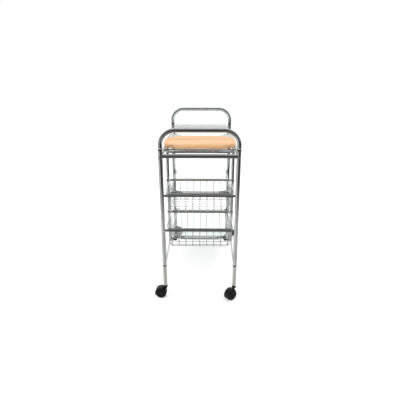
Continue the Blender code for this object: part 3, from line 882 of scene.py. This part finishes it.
def addWires(shape, rimLow, rimHigh, floorHeight, settings):
    rimRadius = settings["rimRadius"]
    wireRadius = settings["wireRadius"]
    topZ = rimLow.z + rimRadius
    lipZ = topZ - settings["lip"]
    bottomZ = floorHeight + wireRadius
    half = (rimHigh - rimLow) / 2 - Vector((rimRadius, rimRadius, 0))
    centre = (rimLow + rimHigh) / 2
    floorX = half.x - settings["floorInX"]
    floorY = half.y - settings["floorInY"]
    bodyX = half.x - settings["wallInX"]
    bodyY = half.y - settings["wallInY"]
    over = 2 * wireRadius - settings["weldSink"]
    for run, pitch, reach, body, floor, spread, layer in (
        ("y", settings["acrossPitch"], half.y, bodyY, floorY, floorX, 0.0),
        ("x", settings["alongPitch"], half.x, bodyX, floorX, floorY, over),
    ):
        count = int(2 * (spread - settings["sideMargin"]) / pitch) + 1
        flat = [
            (-reach, topZ), (-body, lipZ), (-floor, bottomZ + layer),
            (floor, bottomZ + layer), (body, lipZ), (reach, topZ),
        ]
        for index in range(count):
            across = (index - (count - 1) / 2) * pitch
            if run == "y":
                route = [(centre.x + across, centre.y + out, z) for out, z in flat]
            else:
                route = [(centre.x + out, centre.y + across, z) for out, z in flat]
            wire = bmesh.new()
            addPipe(wire, route, wireRadius, settings["footBend"], count=8, steps=4)
            joinInto(shape, wire)
    inset = wireRadius * 2
    loop = flatLoop(
        centre.x - floorX + inset, centre.y - floorY + inset, centre.x + floorX - inset,
        centre.y + floorY - inset, bottomZ + settings["loopLift"],
    )
    wire = bmesh.new()
    addPipe(wire, loop, wireRadius, settings["loopBend"], count=8, steps=5, closed=True)
    joinInto(shape, wire)


def makeBaskets(settings):
    for level in levels:
        body = level + "_basket"
        rimLow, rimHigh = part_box("basket_rim_" + level)
        radius = settings["rimRadius"]
        loop = flatLoop(
            rimLow.x + radius, rimLow.y + radius, rimHigh.x - radius, rimHigh.y - radius, rimLow.z + radius
        )
        shape = bmesh.new()
        addPipe(shape, loop, radius, settings["rimBend"], count=16, steps=8, closed=True)
        finishPiece("basketRim_" + level, shape, wireChrome, body, ["basket_rim_" + level])
        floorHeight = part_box("basket_tub_" + level)[0].z
        shape = bmesh.new()
        addWires(shape, rimLow, rimHigh, floorHeight, settings)
        finishPiece("basketWires_" + level, shape, wireChrome, body, ["basket_tub_" + level])


makeBaskets(basketSettings)
print("baskets made")


# casters

casterSettings = {
    "halfWidth": 0.0188,
    "hoodStart": -25.0,
    "hoodEnd": 150.0,
    "hoodSteps": 28,
    "hoodWall": 0.0025,
    "hoodGap": 0.0015,
    "hoodTaper": 0.002,
    "hoodEase": 0.0006,
    "webHalf": 0.004,
    "wheelGap": 0.0003,
    "neckRadius": 0.009,
    "neckGap": 0.0003,
    "neckEase": 0.0005,
    "neckFoot": [(0.7, 0.024), (1.25, 0.034)],               # share of the neck's radius, above the axle
    "neckTop": [(1.25, 0.004), (1.0, 0.002), (1.0, 0.0)],    # the same, below the top
    "boreRadius": 0.0028,
    "boreSink": 0.0014,
    "innerFace": [(0.004, 0.0), (0.0012, 0.0012), (0.0, 0.0035)],    # below the tread, in from the face
    "outerFace": [
        (0.0, 0.0045), (0.0012, 0.0018), (0.0045, 0.0), (0.0070, 0.0), (0.0080, 0.0012),
        (0.0150, 0.0020), (0.0165, 0.0006), (0.0215, 0.0), (0.0235, 0.0010),
    ],
    "axleRadius": 0.003,
    "axleSink": 0.0035,
    "axleEase": 0.0005,
}


def casterPlace(corner):
    joints = {joint["name"]: joint for joint in frame["joints"]}
    stem = Vector(joints[corner + "_swivel"]["pos_m"])
    axle = Vector(joints[corner + "_roll"]["pos_m"])
    trail = Vector((axle.x - stem.x, axle.y - stem.y, 0))
    turn = math.atan2(trail.y, trail.x)
    place = Matrix.Translation((stem.x, stem.y, 0)) @ Matrix.Rotation(turn, 4, "Z")
    return place, trail.length, axle.z


def addHood(shape, trail, axleHeight, settings):
    inner = axleHeight + settings["hoodGap"]
    outer = inner + settings["hoodWall"]
    halfWidth = settings["halfWidth"]
    outerHalf = halfWidth - settings["hoodTaper"]
    webHalf = settings["webHalf"]
    start = math.radians(settings["hoodStart"])
    angle = math.radians(settings["hoodEnd"] - settings["hoodStart"])
    part = bmesh.new()
    turn = Matrix.Rotation(-start, 4, "Y")
    section = [(inner, -halfWidth), (outer, -outerHalf), (outer, outerHalf), (inner, halfWidth)]
    verts = [part.verts.new(turn @ Vector((radius, y, 0))) for radius, y in section]
    face = part.faces.new(verts)
    bmesh.ops.spin(
        part, geom=[face, *face.edges, *face.verts], cent=(0, 0, 0), axis=(0, -1, 0), angle=angle,
        steps=settings["hoodSteps"],
    )
    bmesh.ops.translate(part, vec=(trail, 0, axleHeight), verts=part.verts)
    easeEdges(part, settings["hoodEase"])
    joinInto(shape, part)
    web = bmesh.new()           # the wall between the two wheels
    edgeRadius = inner + settings["hoodWall"] / 2
    centre = web.verts.new((0, -webHalf, 0))
    tip = web.verts.new(turn @ Vector((edgeRadius, -webHalf, 0)))
    edge = web.edges.new((centre, tip))
    bmesh.ops.spin(
        web, geom=[tip, centre, edge], cent=(0, 0, 0), axis=(0, -1, 0), angle=angle,
        steps=settings["hoodSteps"],
    )
    bmesh.ops.remove_doubles(web, verts=web.verts, dist=1e-6)
    grown = bmesh.ops.extrude_face_region(web, geom=list(web.faces))
    moved = [item for item in grown["geom"] if isinstance(item, bmesh.types.BMVert)]
    bmesh.ops.translate(web, vec=(0, 2 * webHalf, 0), verts=moved)
    bmesh.ops.translate(web, vec=(trail, 0, axleHeight), verts=web.verts)
    joinInto(shape, web)


def makeCasters(settings):
    outer = settings["halfWidth"]
    inner = settings["webHalf"] + settings["wheelGap"]
    neck = settings["neckRadius"]
    bore = settings["boreRadius"]
    for corner in corners:
        place, trail, axleHeight = casterPlace(corner)
        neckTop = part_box("lower_leg_" + corner)[0].z - settings["neckGap"]
        column = [(0.0, axleHeight + settings["neckFoot"][0][1])]
        column += [(neck * share, axleHeight + rise) for share, rise in settings["neckFoot"]]
        column += [(neck * share, neckTop - drop) for share, drop in settings["neckTop"]]
        column += [(0.0, neckTop)]
        shape = bmesh.new()
        addHood(shape, trail, axleHeight, settings)
        neckShape = bmesh.new()
        addLathe(neckShape, column, steps=32)
        easeEdges(neckShape, settings["neckEase"])
        joinInto(shape, neckShape)
        bmesh.ops.transform(shape, matrix=place, verts=shape.verts)
        body = "caster_swivel_" + corner
        finishPiece("casterBody_" + corner, shape, black, body, ["caster_body_" + corner])
        body = "caster_wheels_" + corner
        tread = axleHeight                  # the wheel stands on the floor
        profile = [(bore, inner)]
        profile += [(tread - drop, inner + step) for drop, step in settings["innerFace"]]
        profile += [(tread - drop, outer - step) for drop, step in settings["outerFace"]]
        profile += [(bore, outer - settings["boreSink"])]
        for name, direction in (("a", -1), ("b", 1)):
            spot = place @ Matrix.Translation((trail, 0, axleHeight)) @ turnUpTo((0, direction, 0))
            title = name + "_" + corner
            shape = bmesh.new()
            addLathe(shape, profile, spot, steps=64, closed=True)
            finishPiece(
                "casterWheel_" + title, shape, wheelBlack, body, ["caster_wheel_" + title]
            )
        end = outer - settings["axleSink"]
        route = [(trail, -end, axleHeight), (trail, end, axleHeight)]
        shape = bmesh.new()
        addPipe(shape, route, settings["axleRadius"], count=20)
        easeEdges(shape, settings["axleEase"])
        bmesh.ops.transform(shape, matrix=place, verts=shape.verts)
        finishPiece("casterAxle_" + corner, shape, zinc, body, ["caster_axle_" + corner])


makeCasters(casterSettings)
print("casters made")
